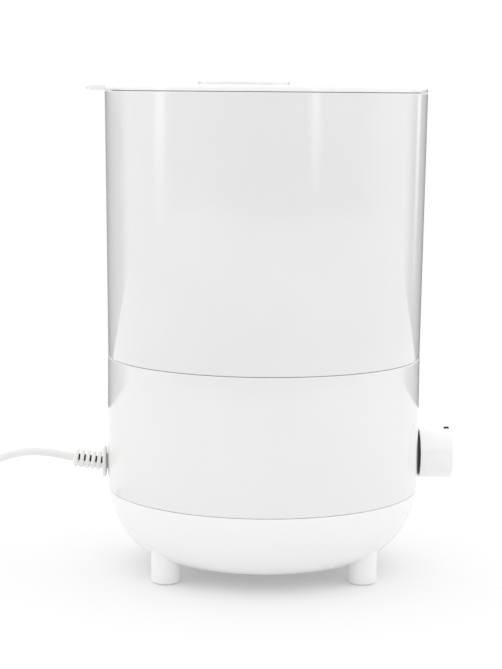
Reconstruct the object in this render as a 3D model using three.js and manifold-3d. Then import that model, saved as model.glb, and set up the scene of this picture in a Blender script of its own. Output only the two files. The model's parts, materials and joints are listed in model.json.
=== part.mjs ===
// Cool mist humidifier: a round tank with a lift-off lid on a base with a bowl-shaped bottom,
// four feet, a mist knob at the front (+X) and a power cord at the back (-X).
// Millimetres, +Z up. The origin is the centre of the floor area, on the surface it stands on.
import * as THREE from 'three';
import { mergeVertices } from 'three/addons/utils/BufferGeometryUtils.js';
import Module from 'manifold-3d';

const wasm = await Module();
wasm.setup();

// ---- driving dimensions ----
const GAP = 0.3; // between pieces that touch
const WALL = 2.6; // the shells' thickness
const RIM_Z = 288; // tank rim
const RIM_R = 96.3;
const SEAM_Z = 130.4; // between tank and base
const BODY_R = 94.3; // base wall, and the tank at the seam
const CUP_Z = 49.8; // between base housing and bottom cup
const BOWL = { flat: 58.3, top: 57, wide: 36, deep: 47.6 }; // quarter ellipse of the bottom
const LID = { thick: 3.7, edge: 3, skirtIn: 89.5, skirtOut: 92, skirtZ: 281, neckR: 19.8 };
const TAB = { x: 106.2, y: 16 }; // at the back of the lid
const NOZZLE = { r: 27.3, thick: 2, edge: 0.8, neckIn: 17, neckOut: 19.2, low: 280 };
const MIST_X = -13.3; // axis of the transducer, chimney and nozzle
const CHIMNEY_R = 22;
const SOCKET = { step: 1.4, wall: 2.3, top: 155 }; // carries the chimney on the tank floor
const VALVE = [46, 14]; // the tank's refill valve
const VALVE_NECK_R = 17;
const VALVE_CAP = { low: 131.2, high: 145.5, r: 19.5, wall: 2.2, web: 2.4, stem: 2.6 };
const FLOAT = [30, -48];
const AIR_Y = 42; // fan and air riser, beside the mist axis
const TANK_FLOOR_Z = 146;
const TRAY_Z = 100; // underside of the water tray
const TRAY = { floor: 2.4, inner: 83.6, outer: 86, flange: 91.2, rimIn: 86.6, rimOut: 89, rimZ: 142 };
const WELL = { r: 20, wall: 2.5, low: 86, high: 144.5, hole: 8.5, floor: 5 };
const RISER = { inner: 11.8, outer: 14, top: 138 };
const LEDGE_Z = 114.4; // the base's ledge that carries the tray
const LEDGE_R = 86.5;
const FAN = { low: 17.3, half: 20, high: 10, bore: 18.8, hub: 7.5, blades: 7 };
const FOOT = { x: 58, y: 43.5, r: 8.8, low: 0.3, round: 2, bore: 1.8 };
const BOARD_Z = 22;
const CUP_SPLIT = 64.6; // radius where the cup's floor meets its curved wall
const KNOB_Z = 70;
const KNOB_R = 15;
const KNOB_END = 115;
const KNOB_EDGE = 0.8;
const SHAFT_R = 3;
const BEZEL_R = 13.5;
const CORD_Z = 64; // where the cord goes through the back wall
const CORD_R = 2.5;
const RELIEF = { tilt: 0.12, face: 97.3, flange: 9.5, core: 3 };
const RIB = { r: 5.7, taper: 0.08, first: 1.4, pitch: 3.45, thick: 2.25 }; // of the strain relief
const SIDES = 36; // facets round the shells
const COIL = { x: -240, y: 37.9, inner: 19.4, outer: 40.6, low: 0.1, high: 10.4, round: 2 };
const PLUG = { x: -235.8, y: 91.2, low: 0.1, edge: 1.4, thick: 11.8 };
const BLADE = { x: [-201, -184], z: [2.9, 9.2], apart: 12.7, thick: 1.5 };

// ---- materials ----
const plastic = (color, roughness) => new THREE.MeshStandardMaterial({ color, roughness, metalness: 0 });
const metal = (color, roughness) => new THREE.MeshStandardMaterial({ color, roughness, metalness: 1 });
const tankWhite = () => plastic(0xe6e8ea, 0.08);
const baseWhite = () => plastic(0xf1f1f1, 0.08);
const cupWhite = () => plastic(0xf5f5f5, 0.12);
const innerWhite = () => plastic(0xe9eaea, 0.4);
const rubber = () => plastic(0xd8d8d6, 0.7);
const blackPlastic = () => plastic(0x161616, 0.45);
const boardGreen = () => plastic(0x1f5a34, 0.5);
const steel = () => metal(0xb9bcc0, 0.3);

// ---- shapes ----
// A solid turned about +Z from [radius, height] points, anticlockwise; off the axis it is a ring.
function turned(outline, sides = 24) {
  const points = outline.map(([r, z]) => new THREE.Vector2(r, z));
  if (outline[0][0] > 0) points.push(points[0].clone());
  return new THREE.LatheGeometry(points, sides).rotateX(Math.PI / 2);
}

function ring(inner, outer, low, high, sides = 24) {
  return turned([[inner, low], [outer, low], [outer, high], [inner, high]], sides);
}

function rod(radius, low, high, sides = 16) {
  const height = high - low;
  const cylinder = new THREE.CylinderGeometry(radius, radius, height, sides);
  return cylinder.rotateX(Math.PI / 2).translate(0, 0, low + height / 2);
}

function block(x0, x1, y0, y1, z0, z1) {
  const box = new THREE.BoxGeometry(x1 - x0, y1 - y0, z1 - z0);
  return box.translate((x0 + x1) / 2, (y0 + y1) / 2, (z0 + z1) / 2);
}

function at(geometry, x, y, z = 0) {
  return geometry.translate(x, y, z);
}

function circle(radius, sides) {
  const points = [];
  for (let i = 0; i < sides; i += 1) {
    const angle = (2 * Math.PI * i) / sides;
    points.push(new THREE.Vector2(radius * Math.cos(angle), radius * Math.sin(angle)));
  }
  return points;
}

function cable(curve, radius, steps, sides = 8) {
  const section = new THREE.Shape(circle(radius, sides));
  return new THREE.ExtrudeGeometry(section, { steps, bevelEnabled: false, extrudePath: curve });
}

function route(points) {
  return new THREE.CatmullRomCurve3(points.map((p) => new THREE.Vector3(...p)));
}

// ---- joins and cuts ----
function toSolid(geometry) {
  const bare = geometry.index ? geometry.toNonIndexed() : geometry.clone();
  bare.deleteAttribute('normal');
  bare.deleteAttribute('uv');
  const merged = mergeVertices(bare, 1e-4);
  const faces = [];
  for (let i = 0; i < merged.index.count; i += 3) {
    const [a, b, c] = [0, 1, 2].map((k) => merged.index.getX(i + k));
    if (a !== b && b !== c && c !== a) faces.push(a, b, c);
  }
  return new wasm.Manifold(new wasm.Mesh({
    numProp: 3,
    vertProperties: new Float32Array(merged.attributes.position.array),
    triVerts: new Uint32Array(faces),
  }));
}

function toGeometry(solid) {
  const mesh = solid.getMesh();
  const geometry = new THREE.BufferGeometry();
  const positions = new Float32Array(mesh.vertProperties);
  geometry.setAttribute('position', new THREE.BufferAttribute(positions, 3));
  geometry.setIndex(new THREE.BufferAttribute(new Uint32Array(mesh.triVerts), 1));
  geometry.computeVertexNormals();
  return geometry;
}

function join(first, ...more) {
  return toGeometry(more.reduce((sum, g) => sum.add(toSolid(g)), toSolid(first)));
}

function cut(first, ...tools) {
  return toGeometry(tools.reduce((left, g) => left.subtract(toSolid(g)), toSolid(first)));
}

function common(first, second) {
  return toGeometry(toSolid(first).intersect(toSolid(second)));
}

function part(group, name, geometry, material) {
  const mesh = new THREE.Mesh(geometry, material);
  mesh.name = name;
  group.add(mesh);
  return mesh;
}

// The four corners (plus or minus x, plus or minus y) as [x, y].
function corners(x, y) {
  return [[x, y], [x, -y], [-x, y], [-x, -y]];
}

// ---- lid and mist nozzle ----
function lidUnit() {
  const group = new THREE.Group();
  const low = RIM_Z + GAP;
  const top = low + LID.thick;
  const outer = RIM_R - 0.1;
  const outline = [
    [0, low], [LID.skirtIn, low], [LID.skirtIn, LID.skirtZ], [LID.skirtOut, LID.skirtZ],
    [LID.skirtOut, low], [outer - 0.4, low],
  ];
  for (let i = 0; i <= 3; i += 1) {
    const turn = (i / 3) * (Math.PI / 2);
    const inward = LID.edge * (1 - Math.cos(turn));
    outline.push([outer - inward, top - LID.edge * (1 - Math.sin(turn))]);
  }
  outline.push([0, top]);
  const tab = block(-TAB.x, -LID.skirtOut, -TAB.y, TAB.y, low + 0.2, top - GAP);
  const neckHole = at(rod(LID.neckR, low - 1, top + 1, 40), MIST_X, 0);
  part(group, 'lid', cut(join(turned(outline, SIDES), tab), neckHole), tankWhite());
  part(group, 'lid_seal', ring(92.3, 93.2, 282.8, 285.3, SIDES), rubber());
  return group;
}

function nozzleUnit() {
  const group = new THREE.Group();
  group.position.x = MIST_X;
  const low = RIM_Z + LID.thick + 2 * GAP;
  const top = low + NOZZLE.thick;
  const under = top - 1.8;
  const outline = [
    [0, under], [NOZZLE.neckIn, under], [NOZZLE.neckIn, NOZZLE.low], [NOZZLE.neckOut, NOZZLE.low],
    [NOZZLE.neckOut, low], [NOZZLE.r, low], [NOZZLE.r, top - NOZZLE.edge], [NOZZLE.r - NOZZLE.edge, top],
    [0, top],
  ];
  const outlet = block(-9, 15, -6, 6, top - 4, top + 2);
  part(group, 'mist_nozzle', cut(turned(outline, 28), outlet), tankWhite());
  part(group, 'nozzle_retainer', ring(19.5, 22.5, 286, 288, 28), innerWhite());
  return group;
}

// ---- tank, chimney and refill valve ----
function tankUnit() {
  const group = new THREE.Group();
  const low = SEAM_Z + GAP;
  const floorTop = TANK_FLOOR_Z + WALL;
  const wallAt = (z) => BODY_R - 0.1 + ((RIM_R - BODY_R) * (z - low)) / (RIM_Z - low);
  const shell = turned([
    [wallAt(low) - WALL, low], [wallAt(low), low], [wallAt(RIM_Z), RIM_Z],
    [wallAt(RIM_Z) - WALL, RIM_Z],
  ], SIDES);
  part(group, 'tank_shell', shell, tankWhite());
  const socket = turned([
    [CHIMNEY_R - SOCKET.step, TANK_FLOOR_Z], [CHIMNEY_R + SOCKET.wall, TANK_FLOOR_Z],
    [CHIMNEY_R + SOCKET.wall, SOCKET.top], [CHIMNEY_R + GAP, SOCKET.top],
    [CHIMNEY_R + GAP, floorTop], [CHIMNEY_R - SOCKET.step, floorTop],
  ], 32);
  part(group, 'mist_socket', at(socket, MIST_X, 0), tankWhite());
  const neck = ring(VALVE_NECK_R - 2.5, VALVE_NECK_R, VALVE_CAP.low + 4.5, floorTop, 32);
  part(group, 'valve_neck', at(neck, ...VALVE), tankWhite());
  const plate = turned([
    [0, TANK_FLOOR_Z], [wallAt(TANK_FLOOR_Z) - WALL - GAP, TANK_FLOOR_Z],
    [wallAt(floorTop) - WALL - GAP, floorTop], [0, floorTop],
  ], SIDES);
  const mistHole = at(rod(CHIMNEY_R + SOCKET.wall + GAP, TANK_FLOOR_Z - 1, floorTop + 1, 40), MIST_X, 0);
  const valveHole = at(rod(VALVE_NECK_R + GAP, TANK_FLOOR_Z - 1, floorTop + 1, 32), ...VALVE);
  part(group, 'tank_floor', cut(plate, mistHole, valveHole), tankWhite());
  const chimney = ring(CHIMNEY_R - 2.2, CHIMNEY_R, floorTop + GAP, 285.4, 32);
  part(group, 'mist_chimney', at(chimney, MIST_X, 0), innerWhite());
  return group;
}

class Helix extends THREE.Curve {
  constructor(radius, low, high, turns) {
    super();
    Object.assign(this, { radius, low, high, turns });
  }

  getPoint(t, target = new THREE.Vector3()) {
    const angle = 2 * Math.PI * this.turns * t;
    const z = this.low + (this.high - this.low) * t;
    return target.set(this.radius * Math.cos(angle), this.radius * Math.sin(angle), z);
  }
}

function valveUnit() {
  const group = new THREE.Group();
  group.position.set(...VALVE, 0);
  const { low: plate, high, r, stem } = VALVE_CAP;
  const web = plate + VALVE_CAP.web;
  const inner = r - VALVE_CAP.wall;
  const cup = turned([[stem, plate], [r, plate], [r, high], [inner, high], [inner, web], [stem, web]], 24);
  const ports = [];
  for (let i = 0; i < 4; i += 1) {
    ports.push(block(4.6, 8.6, -2, 2, plate - 1, plate + 4).rotateZ((i * Math.PI) / 2));
  }
  part(group, 'valve_cap', cut(cup, ...ports), innerWhite());
  const plunger = turned([
    [0, 117], [5, 117], [5, 119], [2.2, 119], [2.2, 135.5], [9.5, 135.5], [9.5, 137], [0, 137],
  ], 16);
  part(group, 'valve_plunger', plunger, innerWhite());
  part(group, 'valve_seal', ring(stem, 10, web + GAP, 135.2, 20), rubber());
  const spring = cable(new Helix(3.7, 120, plate - 1, 4.5), 0.45, 45, 5);
  part(group, 'valve_spring', spring, steel());
  return group;
}

// ---- base housing and water tray ----
function baseHousing() {
  const group = new THREE.Group();
  const low = CUP_Z + GAP;
  const inner = BODY_R - WALL;
  const shell = turned([
    [inner - 0.5, low], [BODY_R - 0.45, low], [BODY_R, 57], [BODY_R, SEAM_Z], [inner, SEAM_Z],
  ], SIDES);
  const knobHole = rod(13.8, 80, 110, 40).rotateY(Math.PI / 2).translate(0, 0, KNOB_Z);
  const cordHole = rod(5, 80, 110, 24).rotateY(-Math.PI / 2).translate(0, 0, CORD_Z);
  part(group, 'base_housing', cut(shell, knobHole, cordHole), baseWhite());
  const ledge = turned([
    [LEDGE_R, LEDGE_Z - 2.4], [inner - 0.5, LEDGE_Z - 5], [inner - 0.5, LEDGE_Z], [LEDGE_R, LEDGE_Z],
  ], SIDES);
  part(group, 'tray_ledge', ledge, baseWhite());
  return group;
}

function waterTray() {
  const group = new THREE.Group();
  const floor = TRAY_Z + TRAY.floor;
  const seat = LEDGE_Z + GAP;
  const flange = seat + 2.5;
  const rim = turned([
    [TRAY.inner, TRAY_Z], [TRAY.outer, TRAY_Z], [TRAY.outer, seat], [TRAY.flange, seat],
    [TRAY.flange, flange], [TRAY.rimOut, flange], [TRAY.rimOut, TRAY.rimZ], [TRAY.rimIn, TRAY.rimZ],
    [TRAY.rimIn, flange], [TRAY.inner, flange],
  ], SIDES);
  part(group, 'tray_rim', rim, innerWhite());
  const plateR = TRAY.inner - 0.4;
  const plate = turned([[0, TRAY_Z], [plateR, TRAY_Z], [plateR, floor], [0, floor]], SIDES);
  const wellHole = at(rod(WELL.r + GAP, TRAY_Z - 1, floor + 1, 40), MIST_X, 0);
  const riserHole = at(rod(RISER.outer + GAP, TRAY_Z - 1, floor + 1, 32), MIST_X, AIR_Y);
  part(group, 'water_tray', cut(plate, wellHole, riserHole), innerWhite());
  const wellFloor = WELL.low + WELL.floor;
  const well = turned([
    [WELL.hole, WELL.low], [WELL.r, WELL.low], [WELL.r, WELL.high], [WELL.r - WELL.wall, WELL.high],
    [WELL.r - WELL.wall, wellFloor], [WELL.hole, wellFloor],
  ], 40);
  const waterWays = block(-30, 30, -5, 5, floor, 110);
  part(group, 'mist_well', cut(well, waterWays), innerWhite()).position.x = MIST_X;
  const riser = ring(RISER.inner, RISER.outer, TRAY_Z, RISER.top, 32);
  part(group, 'riser_tube', at(riser, MIST_X, AIR_Y), innerWhite());
  part(group, 'valve_pin', at(rod(4, floor + GAP, 116.6, 20), ...VALVE), innerWhite());
  part(group, 'float_post', at(rod(3, floor + GAP, 126, 16), ...FLOAT), innerWhite());
  return group;
}

// ---- transducer under the well, float and its switch ----
function transducerUnit() {
  const group = new THREE.Group();
  group.position.x = MIST_X;
  const seal = turned([
    [8, 82], [13, 82], [13, 85.7], [8, 85.7], [8, 85], [10.6, 85], [10.6, 83.2], [8, 83.2],
  ], 20);
  part(group, 'transducer_seal', seal, rubber());
  part(group, 'transducer_disc', rod(10.3, 83.5, 84.7, 32), metal(0xc9a24a, 0.35));
  return group;
}

function floatUnit() {
  const group = new THREE.Group();
  group.position.set(...FLOAT, 0);
  const body = turned([
    [3.4, 103.4], [13, 103.4], [13, 115.4], [8.4, 115.4], [8.4, 111], [3.4, 111],
  ], 20);
  part(group, 'float_ring', body, plastic(0xf0efe8, 0.6));
  part(group, 'float_magnet', ring(3.8, 8, 111.3, 114.8, 16), metal(0x6d6f72, 0.4));
  const clip = turned([
    [3.3, 123.4], [5, 123.4], [5, 127.5], [0, 127.5], [0, 126.3], [3.3, 126.3],
  ], 12);
  part(group, 'float_clip', clip, innerWhite());
  part(group, 'reed_switch', block(-9, 9, -2.5, 2.5, 94.6, TRAY_Z - GAP), blackPlastic());
  return group;
}

// ---- fan and air duct ----
function fanUnit() {
  const group = new THREE.Group();
  group.position.set(MIST_X, AIR_Y, 0);
  const { low, half, high } = FAN;
  const frame = cut(
    block(-half, half, -half, half, low, low + high),
    rod(FAN.bore, low - 1, low + high + 1, 32),
  );
  const stator = [rod(7, low, low + 1.6, 24)];
  for (let i = 0; i < 3; i += 1) {
    stator.push(block(5, 19.4, -1.2, 1.2, low, low + 1.6).rotateZ((2 * Math.PI * i) / 3));
  }
  part(group, 'fan_frame', join(frame, ...stator), blackPlastic());
  const blades = [];
  for (let i = 0; i < FAN.blades; i += 1) {
    const blade = block(6.5, 18, -4.2, 4.2, -0.5, 0.5).rotateX(0.6);
    blades.push(blade.rotateZ((2 * Math.PI * i) / FAN.blades).translate(0, 0, low + 6));
  }
  part(group, 'fan_rotor', join(rod(FAN.hub, low + 2, low + 9.4, 24), ...blades), blackPlastic());
  const mouth = low + high + GAP;
  const top = TRAY_Z - GAP;
  const duct = turned([
    [17.2, mouth], [19.4, mouth], [19.4, 31], [RISER.outer, 42], [RISER.outer, top],
    [RISER.inner, top], [RISER.inner, 42], [17.2, 31],
  ], 24);
  part(group, 'air_duct', duct, innerWhite());
  return group;
}

// ---- circuit board in the base ----
function boardUnit() {
  const group = new THREE.Group();
  const top = BOARD_Z + 1.6;
  part(group, 'circuit_board', block(-50, 46, -46, -8, BOARD_Z, top), boardGreen());
  const foot = top + GAP;
  const fins = [];
  for (let i = 0; i < 6; i += 1) {
    fins.push(block(14 + i * 4.6, 15.6 + i * 4.6, -42, -20, foot + 2, foot + 20));
  }
  const sink = join(block(14, 38.6, -42, -20, foot, foot + 3), ...fins);
  part(group, 'heat_sink', sink, metal(0xc8cacc, 0.4));
  part(group, 'transformer', block(-48, -26, -43, -23, foot, foot + 16), plastic(0xd9b23a, 0.5));
  return group;
}

// ---- knob, its potentiometer and bezel, turned to face +X ----
function potentiometerUnit() {
  const group = new THREE.Group();
  group.position.z = KNOB_Z;
  group.rotation.y = Math.PI / 2;
  const body = turned([
    [0, 76], [8.5, 76], [8.5, 87.7], [3.9, 87.7], [3.9, 93.5], [3.3, 93.5], [3.3, 79], [0, 79],
  ], 18);
  part(group, 'pot_body', body, steel());
  const bezel = turned([
    [4.2, 88], [BEZEL_R, 88], [BEZEL_R, 94.9], [12, 94.9], [12, 90], [4.2, 90],
  ], 28);
  part(group, 'knob_bezel', bezel, blackPlastic());
  return group;
}

function knobUnit() {
  const group = new THREE.Group();
  group.position.z = KNOB_Z;
  group.rotation.y = Math.PI / 2;
  const skirt = 95.2;
  const outline = [
    [0, 112], [3.3, 112], [3.3, 98], [5.5, 98], [5.5, 104], [12.4, 104], [12.4, skirt],
    [KNOB_R, skirt], [KNOB_R, KNOB_END - KNOB_EDGE], [KNOB_R - KNOB_EDGE, KNOB_END], [0, KNOB_END],
  ];
  const notch = block(-KNOB_R - 1, -13.6, -1.1, 1.1, 110.2, 114);
  part(group, 'knob', cut(turned(outline, 28), notch), baseWhite());
  part(group, 'knob_pointer', block(-16, -13.9, -0.8, 0.8, 110.5, 113.7), blackPlastic());
  part(group, 'pot_shaft', rod(SHAFT_R, 79.4, 111.6, 20), steel());
  return group;
}

// ---- bottom cup with its air inlet, and the feet with their screws and pads ----
// The bowl's outline from the floor's centre up to a height, moved in by some millimetres.
function bowl(inset, high, steps = 4) {
  const wide = BOWL.wide - inset;
  const deep = BOWL.deep - inset;
  const end = Math.acos((BOWL.top - high) / deep);
  const outline = [[0, BOWL.top - deep]];
  for (let i = 0; i <= steps; i += 1) {
    const turn = (i / steps) * end;
    outline.push([BOWL.flat + wide * Math.sin(turn), BOWL.top - deep * Math.cos(turn)]);
  }
  outline.push([0, high]);
  return turned(outline, SIDES);
}

function cupUnit() {
  const group = new THREE.Group();
  const high = CUP_Z - GAP;
  const outer = bowl(0, high);
  const lip = ring(BODY_R - WALL - 3.2, BODY_R - WALL - 0.8, high - 6, high + 5, SIDES);
  const posts = corners(FOOT.x, FOOT.y).map(([x, y]) => at(rod(5, 12, 28, 12), x, y));
  for (const x of [-46, 42]) {
    for (const y of [-42, -12]) {
      posts.push(at(rod(3, 11, BOARD_Z - GAP, 8), x, y));
    }
  }
  for (const [x, y] of corners(16, 12)) {
    posts.push(at(rod(2.2, 11, 17, 8), MIST_X + x, AIR_Y + y));
  }
  const shell = join(cut(outer, bowl(WALL, high + 5)), lip);
  const filled = posts.map((post) => common(post, outer));
  const holes = [];
  for (const [x, y] of corners(FOOT.x, FOOT.y)) {
    holes.push(at(rod(FOOT.bore, 5, 30, 10), x, y));
  }
  for (let i = -3; i <= 3; i += 1) {
    const y = AIR_Y + i * 5;
    holes.push(block(MIST_X - 13, MIST_X + 13, y - 1.4, y + 1.4, 5, 16.5));
  }
  const cup = cut(join(shell, ...filled), ...holes);
  part(group, 'bottom_cup', cut(cup, rod(CUP_SPLIT, 0, 60, SIDES)), cupWhite());
  part(group, 'cup_floor', common(cup, rod(CUP_SPLIT - GAP, 0, 60, SIDES)), cupWhite());
  return group;
}

function feetUnit() {
  const group = new THREE.Group();
  const { low, round } = FOOT;
  const flat = FOOT.r - round;
  const outline = [[0, 1.5], [flat, 1.5], [flat, low]];
  for (let i = 1; i <= 2; i += 1) {
    const turn = (i / 2) * (Math.PI / 2);
    outline.push([flat + round * Math.sin(turn), low + round - round * Math.cos(turn)]);
  }
  outline.push([FOOT.r, 24], [0, 24]);
  const clearance = bowl(-GAP, CUP_Z - GAP);
  const bore = join(rod(3.7, 0, 6.4, 16), rod(FOOT.bore, 5, 30, 10));
  const screw = turned([[0, 3.4], [3.2, 3.4], [3.2, 6.1], [1.5, 6.1], [1.5, 24], [0, 25.5]], 10);
  corners(FOOT.x, FOOT.y).forEach(([x, y], i) => {
    const foot = cut(at(turned(outline, 20), x, y), clearance, at(bore.clone(), x, y));
    part(group, `foot_${i + 1}`, foot, cupWhite());
    part(group, `foot_screw_${i + 1}`, at(screw.clone(), x, y), steel());
    part(group, `foot_pad_${i + 1}`, at(rod(6.5, 0, 1.2, 16), x, y), rubber());
  });
  return group;
}

// ---- strain relief, power cord and plug ----
function reliefUnit() {
  const group = new THREE.Group();
  const { face, flange, core } = RELIEF;
  const neck = turned([
    [0, 88.2], [6.6, 88.2], [6.6, 90.4], [4.6, 90.4], [4.6, 94.8], [flange, 94.8],
    [flange, face], [0, face],
  ], 20);
  const outline = [[0, -1], [core, -1]];
  for (let i = 0; i < 5; i += 1) {
    const start = RIB.first + i * RIB.pitch;
    const end = start + RIB.thick;
    const r = RIB.r - RIB.taper * i;
    outline.push([core, start], [r, start], [r, end], [core, end]);
  }
  outline.push([0, outline.at(-1)[1]]);
  const ribs = turned(outline, 12).rotateY(RELIEF.tilt).translate(0, 0, face);
  const relief = join(neck, ribs).rotateY(-Math.PI / 2).translate(0, 0, CORD_Z);
  part(group, 'strain_relief', relief, baseWhite());
  return group;
}

const CORD_LEAD = [
  [-115.4, 0, 66.3], [-121, 0, 67.4], [-127, 0, 68.6], [-134, 0, 69.5], [-142, 0, 69.7], [-151, 0, 68.5],
  [-160, 0, 65.4], [-168, 0, 60.7], [-175, 0, 54.5], [-181, 0, 47], [-187, 0, 39.3], [-193, 0, 31.8],
  [-199, 0, 25], [-206, 0, 18.5], [-212, 0, 14.1], [-218, 0, 11],
];
const CORD_TAIL = [
  [-261.6, 76.1, 2.7], [-257.5, 82.3, 2.7], [-251.5, 87.4, 3.4], [-244, 90.4, 5], [-236.9, 91.1, 5.9],
];
const MAINS_LEAD = [
  [-87.6, 0, 64], [-81, 0, 64], [-75, -2, 61], [-69, -7, 53], [-63, -12, 43], [-55, -15, 33],
  [-49, -16, 27], [-48, -16, 24.5],
];

function cordUnit() {
  const group = new THREE.Group();
  const cordWhite = () => plastic(0xf0f0ee, 0.35);
  part(group, 'power_cord_lead', cable(route(CORD_LEAD), CORD_R, 15), cordWhite());
  part(group, 'power_cord_tail', cable(route(CORD_TAIL), CORD_R, 4), cordWhite());
  const { inner, outer, low, high, round } = COIL;
  const coil = turned([
    [inner, low + round], [inner + round, low], [outer - round, low], [outer, low + round],
    [outer, high - round], [outer - round, high], [inner + round, high], [inner, high - round],
  ], 24);
  part(group, 'cord_coil', at(coil, COIL.x, COIL.y), cordWhite());
  const side = [[0, 4.2], [6, 4.8], [10, 8.5], [16, 10.2], [24, 9.2], [33, 10.6], [34.5, 9.4]];
  const outline = side.map(([x, y]) => new THREE.Vector2(x, y));
  outline.push(...side.map(([x, y]) => new THREE.Vector2(x, -y)).reverse());
  const { edge } = PLUG;
  const body = new THREE.ExtrudeGeometry(new THREE.Shape(outline), {
    depth: PLUG.thick - 2 * edge, steps: 1, bevelThickness: edge, bevelSize: edge, bevelOffset: -edge,
    bevelSegments: 2,
  });
  part(group, 'plug_body', body.translate(PLUG.x, PLUG.y, PLUG.low + edge), cordWhite());
  [-1, 1].forEach((sign, i) => {
    const y = PLUG.y + (sign * BLADE.apart) / 2;
    const blade = block(...BLADE.x, y - BLADE.thick / 2, y + BLADE.thick / 2, ...BLADE.z);
    part(group, `plug_blade_${i + 1}`, blade, metal(0xd0b878, 0.3));
  });
  return group;
}

function innerLead() {
  const group = new THREE.Group();
  part(group, 'mains_lead', cable(route(MAINS_LEAD), 2, 12, 8), plastic(0xe8e8e6, 0.5));
  return group;
}

const humidifier = new THREE.Group();
humidifier.add(
  lidUnit(), nozzleUnit(), tankUnit(), valveUnit(), baseHousing(), waterTray(), transducerUnit(),
  floatUnit(), fanUnit(), boardUnit(), potentiometerUnit(), knobUnit(), cupUnit(), feetUnit(),
  reliefUnit(), cordUnit(), innerLead(),
);
export default humidifier;
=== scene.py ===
import bmesh
import bpy
import json
import math
from mathutils import Matrix, Vector


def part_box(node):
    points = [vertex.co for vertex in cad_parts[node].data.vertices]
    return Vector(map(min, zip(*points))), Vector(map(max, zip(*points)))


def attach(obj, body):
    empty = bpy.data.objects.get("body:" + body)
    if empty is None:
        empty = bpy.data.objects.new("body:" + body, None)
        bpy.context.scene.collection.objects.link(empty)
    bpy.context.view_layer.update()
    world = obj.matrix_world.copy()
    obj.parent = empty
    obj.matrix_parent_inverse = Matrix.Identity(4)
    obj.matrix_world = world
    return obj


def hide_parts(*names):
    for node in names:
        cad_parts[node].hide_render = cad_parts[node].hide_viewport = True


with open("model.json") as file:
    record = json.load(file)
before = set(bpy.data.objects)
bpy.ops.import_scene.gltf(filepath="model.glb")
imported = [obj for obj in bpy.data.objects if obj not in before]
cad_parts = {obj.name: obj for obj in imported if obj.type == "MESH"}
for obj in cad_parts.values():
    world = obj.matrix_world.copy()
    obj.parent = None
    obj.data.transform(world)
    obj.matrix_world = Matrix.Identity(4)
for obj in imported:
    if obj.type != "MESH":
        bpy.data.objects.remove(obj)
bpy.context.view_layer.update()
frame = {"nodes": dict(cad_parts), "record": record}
mm = 0.001
nodes = frame["nodes"]
print("frame loaded:", len(nodes), "nodes")


def halfWidth(node):
    low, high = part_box(node)
    return (high.y - low.y) / 2


def middle(node):
    low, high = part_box(node)
    return (low + high) / 2


# ---- camera ----
cameraSetup = {
    "distance": 1.098,
    "height": 0.2879,
    "aside": -0.0078,
    "yaw": -1.48,
    "pitch": 7.56,
    "roll": 0.49,
    "lens": 98.33,
}


def makeCamera(setup):
    data = bpy.data.cameras.new("viewCamera")
    data.lens = setup["lens"]
    data.sensor_width = 36
    data.clip_start = 0.05
    data.clip_end = 50
    camera = bpy.data.objects.new("viewCamera", data)
    bpy.context.scene.collection.objects.link(camera)
    tilt = Matrix.Rotation(math.radians(90 - setup["pitch"]), 4, "X")
    roll = Matrix.Rotation(math.radians(setup["roll"]), 4, "Z")
    place = Matrix.Translation((setup["aside"], -setup["distance"], setup["height"]))
    yaw = Matrix.Rotation(math.radians(setup["yaw"]), 4, "Z")
    camera.matrix_world = yaw @ place @ tilt @ roll
    bpy.context.scene.camera = camera


makeCamera(cameraSetup)
print("camera placed")


# ---- shader helper: a socket with arithmetic ----
class Wire:
    def __init__(self, tree, socket=None):
        self.tree = tree
        self.socket = socket

    def node(self, kind, settings=None, inputs=None, output=0):
        made = self.tree.nodes.new(kind)
        for key, value in (settings or {}).items():
            if key == "stops":
                ramp = made.color_ramp
                while len(ramp.elements) < len(value):
                    ramp.elements.new(0.5)
                for element, (position, shade) in zip(ramp.elements, value):
                    element.position = position
                    element.color = shade
            else:
                setattr(made, key, value)
        for key, value in (inputs or {}).items():
            if isinstance(value, Wire):
                self.tree.links.new(value.socket, made.inputs[key])
            else:
                made.inputs[key].default_value = value
        return Wire(self.tree, made.outputs[output] if made.outputs else None)

    def calculate(self, operation, first, second):
        return self.node("ShaderNodeMath", {"operation": operation}, {0: first, 1: second})

    def __add__(self, other):
        return self.calculate("ADD", self, other)

    def __rsub__(self, other):
        return self.calculate("SUBTRACT", other, self)

    def __mul__(self, other):
        return self.calculate("MULTIPLY", self, other)

    def __gt__(self, other):
        return self.calculate("GREATER_THAN", self, other)

    def __lt__(self, other):
        return self.calculate("LESS_THAN", self, other)

    __radd__ = __add__


# Display values from 0 to 1, turned into linear light by the usual sRGB curve.
def colour(*parts):
    return tuple(v / 12.92 if v <= 0.04045 else ((v + 0.055) / 1.055) ** 2.4 for v in parts) + (1,)


def grey(level):
    return (level, level, level, 1)


def blankMaterial(name):
    material = bpy.data.materials.new(name)
    material.use_nodes = True
    material.node_tree.nodes.clear()
    return material, Wire(material.node_tree)


def closeMaterial(wire, shader):
    wire.node("ShaderNodeOutputMaterial", None, {"Surface": shader})


# Stretches the range from low to high out to 0 to 1.
def spread(wire, value, low, high):
    return wire.node("ShaderNodeMapRange", None, {"Value": value, "From Min": low, "From Max": high})


# Sockets 6 and 7 take the two colours of a Mix node and socket 2 gives the mixed one.
def blend(wire, factor, first, second):
    return wire.node("ShaderNodeMix", {"data_type": "RGBA"}, {"Factor": factor, 6: first, 7: second}, 2)


def bumps(wire, height):
    return wire.node("ShaderNodeBump", None, {"Height": height, "Distance": 0.001, "Strength": 1.0})


def noise(wire, place, scale, detail=2.0, roughness=0.5):
    return wire.node("ShaderNodeTexNoise", None, {
        "Vector": place, "Scale": scale, "Detail": detail, "Roughness": roughness})


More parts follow.
